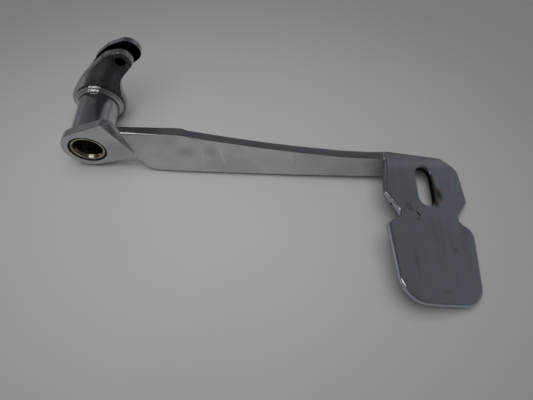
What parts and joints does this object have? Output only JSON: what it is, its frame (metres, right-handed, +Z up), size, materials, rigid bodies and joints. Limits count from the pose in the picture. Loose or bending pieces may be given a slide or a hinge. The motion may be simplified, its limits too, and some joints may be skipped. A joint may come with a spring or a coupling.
{
  "type": "motorcycle foot brake lever",
  "caption": "Chromed motorcycle foot lever with a bushed pivot tube, a push-rod clevis, a flat tapered arm and a tilted, slotted foot plate for a rubber pad.",
  "frame": {"origin": "on the ground, under the middle of the bounding box of the lever as it lies at rest", "axes": "+X along the arm from the pivot to the foot plate, +Y from the arm's front face back along the pivot bore, +Z up from the ground that it lies on"},
  "size_m": [0.2886, 0.1688, 0.0687],
  "materials": {
    "arm_chrome": "polished",
    "tube_chrome": "polished",
    "front_bush_bronze": "machined",
    "rear_bush_bronze": "machined",
    "front_seal_rubber": "matte",
    "rear_seal_rubber": "matte",
    "clevis_front_plate_chrome": "polished",
    "clevis_rear_tab_chrome": "polished",
    "clevis_spacer_chrome": "polished",
    "eye_weld_chrome": "as welded, plated",
    "clevis_front_weld_chrome": "as welded, plated",
    "clevis_rear_weld_chrome": "as welded, plated",
    "plate_chrome": "worn polish",
    "plate_top_weld_chrome": "as welded, plated",
    "plate_under_weld_chrome": "as welded, plated"
  },
  "bodies": {
    "root": {"lever_arm": "arm_chrome", "pivot_tube": "tube_chrome", "front_bush": "front_bush_bronze", "rear_bush": "rear_bush_bronze", "front_seal_ring": "front_seal_rubber", "rear_seal_ring": "rear_seal_rubber", "clevis_front_plate": "clevis_front_plate_chrome", "clevis_rear_tab": "clevis_rear_tab_chrome", "clevis_spacer": "clevis_spacer_chrome", "eye_weld": "eye_weld_chrome", "clevis_front_weld": "clevis_front_weld_chrome", "clevis_rear_weld": "clevis_rear_weld_chrome", "foot_plate": "plate_chrome", "plate_top_weld": "plate_top_weld_chrome", "plate_under_weld": "plate_under_weld_chrome"}
  },
  "joints": []
}
